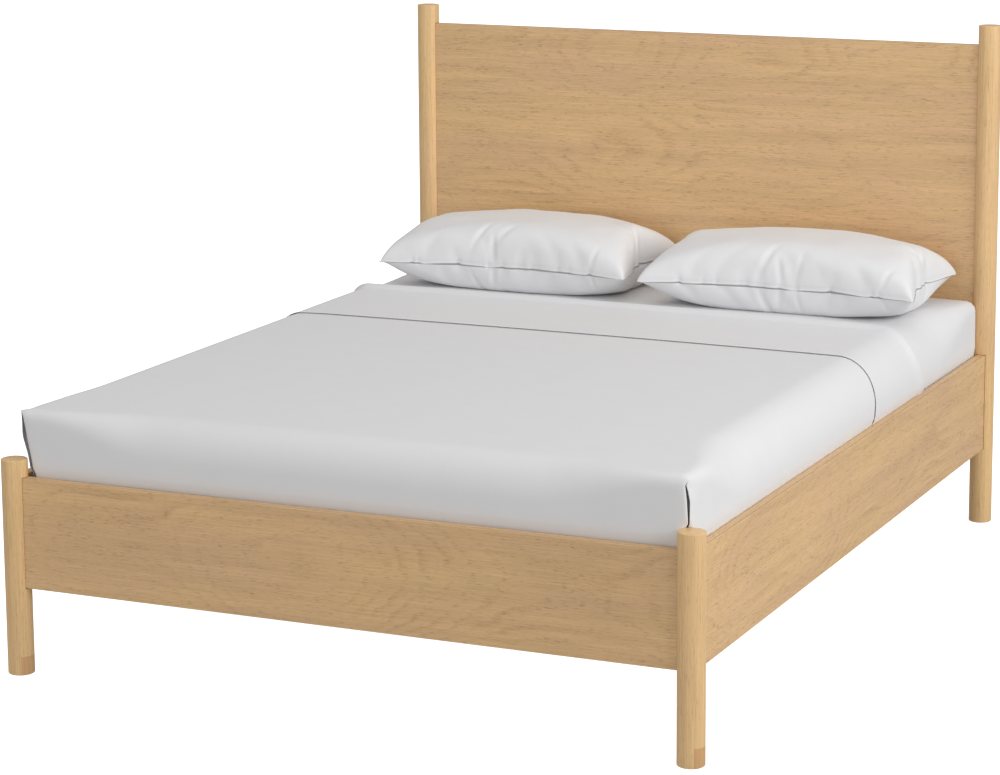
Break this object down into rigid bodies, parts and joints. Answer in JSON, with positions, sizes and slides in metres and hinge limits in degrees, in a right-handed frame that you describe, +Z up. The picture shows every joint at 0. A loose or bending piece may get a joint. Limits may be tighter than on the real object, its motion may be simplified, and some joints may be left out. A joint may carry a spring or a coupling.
{
  "type": "low-post panel bed with slatted base and made-up mattress",
  "caption": "Oak panel bed with round corner posts, plain headboard and rails, slatted base, made-up mattress and pillows.",
  "frame": {"origin": "on the floor, under the middle of the bed's outline", "axes": "+Z up, +Y towards the headboard, +X towards the right side rail as seen from the foot of the bed"},
  "size_m": [1.649, 2.159, 1.3025],
  "materials": {
    "oak_solid": "turned solid oak, clear matt lacquer",
    "oak_veneer": "flat-cut oak veneer, grain along the length, clear matt lacquer",
    "pine": "planed, unfinished",
    "webbing": "woven polyester tape",
    "zinc_steel": "zinc plated",
    "nylon": "moulded, matt",
    "ticking": "woven mattress cover",
    "cotton": "pressed cotton sheeting",
    "pillowcase": "pressed cotton sheeting over a soft filling"
  },
  "bodies": {
    "bed_frame": {"post_foot_left": "oak_solid", "post_foot_right": "oak_solid", "post_head_left": "oak_solid", "post_head_right": "oak_solid", "headboard_panel": "oak_veneer", "foot_rail": "oak_veneer", "side_rail_left": "oak_veneer", "side_rail_right": "oak_veneer", "slat_ledger_left": "pine", "slat_webbing_left": "webbing", "slat_ledger_right": "pine", "slat_webbing_right": "webbing", "slat_01": "pine", "slat_02": "pine", "slat_03": "pine", "slat_04": "pine", "slat_05": "pine", "slat_06": "pine", "slat_07": "pine", "slat_08": "pine", "slat_09": "pine", "slat_10": "pine", "slat_11": "pine", "slat_12": "pine", "slat_13": "pine", "slat_14": "pine", "centre_beam": "pine", "beam_stirrup_foot": "zinc_steel", "centre_leg_foot": "pine", "centre_leg_bolt_foot": "zinc_steel", "beam_stirrup_head": "zinc_steel", "centre_leg_head": "pine", "centre_leg_bolt_head": "zinc_steel", "post_glide_foot_left": "nylon", "corner_brace_foot_left": "zinc_steel", "hanger_bolt_foot_left": "zinc_steel", "hanger_nut_foot_left": "zinc_steel", "post_glide_foot_right": "nylon", "corner_brace_foot_right": "zinc_steel", "hanger_bolt_foot_right": "zinc_steel", "hanger_nut_foot_right": "zinc_steel", "post_glide_head_left": "nylon", "corner_brace_head_left": "zinc_steel", "hanger_bolt_head_left": "zinc_steel", "hanger_nut_head_left": "zinc_steel", "post_glide_head_right": "nylon", "corner_brace_head_right": "zinc_steel", "hanger_bolt_head_right": "zinc_steel", "hanger_nut_head_right": "zinc_steel"},
    "mattress_set": {"mattress": "ticking", "fitted_sheet": "cotton", "flat_sheet": "cotton"},
    "pillow_left_body": {"pillow_left": "pillowcase"},
    "pillow_right_body": {"pillow_right": "pillowcase"},
    "leg_glide_foot_body": {"leg_glide_foot": "nylon"},
    "leg_glide_head_body": {"leg_glide_head": "nylon"}
  },
  "joints": [
    {"name": "mattress_lift", "type": "slide", "parent": "bed_frame", "child": "mattress_set", "axis": [0, 0, 1], "range_m": [0, 0.4]},
    {"name": "pillow_left_lift", "type": "slide", "parent": "mattress_set", "child": "pillow_left_body", "axis": [0, 0, 1], "range_m": [0, 0.3]},
    {"name": "pillow_right_lift", "type": "slide", "parent": "mattress_set", "child": "pillow_right_body", "axis": [0, 0, 1], "range_m": [0, 0.3]},
    {"name": "leg_glide_foot_screw", "type": "slide", "parent": "bed_frame", "child": "leg_glide_foot_body", "axis": [0, 0, 1], "range_m": [0, 0.015]},
    {"name": "leg_glide_head_screw", "type": "slide", "parent": "bed_frame", "child": "leg_glide_head_body", "axis": [0, 0, 1], "range_m": [0, 0.015]}
  ]
}
